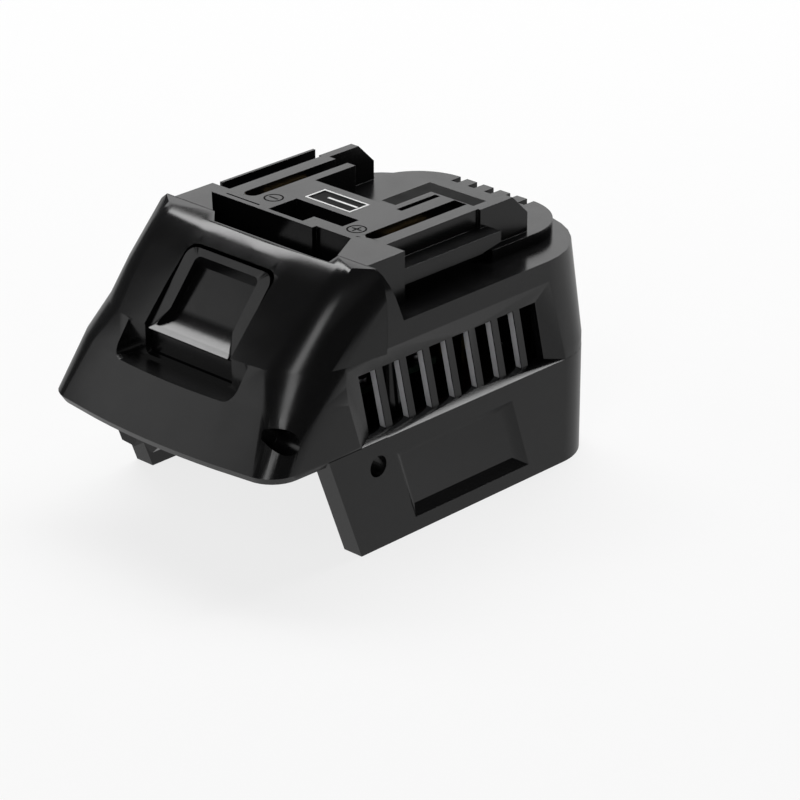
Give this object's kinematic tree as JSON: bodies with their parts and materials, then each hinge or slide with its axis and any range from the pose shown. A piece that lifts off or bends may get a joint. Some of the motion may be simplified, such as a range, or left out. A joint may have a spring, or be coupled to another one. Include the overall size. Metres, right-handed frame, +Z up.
{
  "type": "battery adapter",
  "caption": "Black slide-on tool battery adapter with a pack socket below, louvred sides, a sloped hood with a sprung release button and a raised terminal block with guide rails.",
  "frame": {"origin": "centre of the bounding box at its bottom face, on the floor", "axes": "+Y from the release button towards the rear wall, +Z up towards the terminal block, +X to the right seen from the front, so the picture shows the +X side"},
  "size_m": [0.075, 0.1146, 0.0665],
  "materials": {
    "shell_black": "satin gloss",
    "block_black": "gloss",
    "plate_black": "gloss",
    "latch_black": "satin gloss",
    "contact_brass": "bright",
    "screw_steel": "satin",
    "wire_red": "matte",
    "wire_black": "matte",
    "board_green": "matte",
    "board_dark": "matte"
  },
  "bodies": {
    "housing": {"lower_housing": "shell_black", "upper_housing": "shell_black", "front_skirt": "shell_black", "side_wings": "shell_black", "front_hood": "shell_black", "terminal_block": "block_black", "guide_rails": "block_black", "terminal_carrier": "block_black", "label_plate": "plate_black", "window_plate": "plate_black", "latch_cover": "latch_black", "catch_ribs": "latch_black", "positive_clip": "contact_brass", "negative_clip": "contact_brass", "signal_pins": "contact_brass", "positive_blade": "contact_brass", "negative_blade": "contact_brass", "signal_blades": "contact_brass", "carrier_screws": "screw_steel", "board_screws": "screw_steel", "block_screws": "screw_steel", "case_screws": "screw_steel", "skirt_screws": "screw_steel", "guide_pins": "screw_steel", "spring_left": "screw_steel", "spring_right": "screw_steel", "positive_wire": "wire_red", "negative_wire": "wire_black", "circuit_board": "board_green", "board_parts": "board_dark"},
    "latch": {"release_button": "latch_black", "latch_slider": "latch_black", "latch_hook": "latch_black"}
  },
  "joints": [
    {"name": "button_slide", "type": "slide", "parent": "housing", "child": "latch", "axis": [0, 0, -1], "range_m": [0, 0.005], "stiffness_N_per_m": 400, "springref_m": -0.004, "deforming": ["spring_left", "spring_right"]}
  ]
}
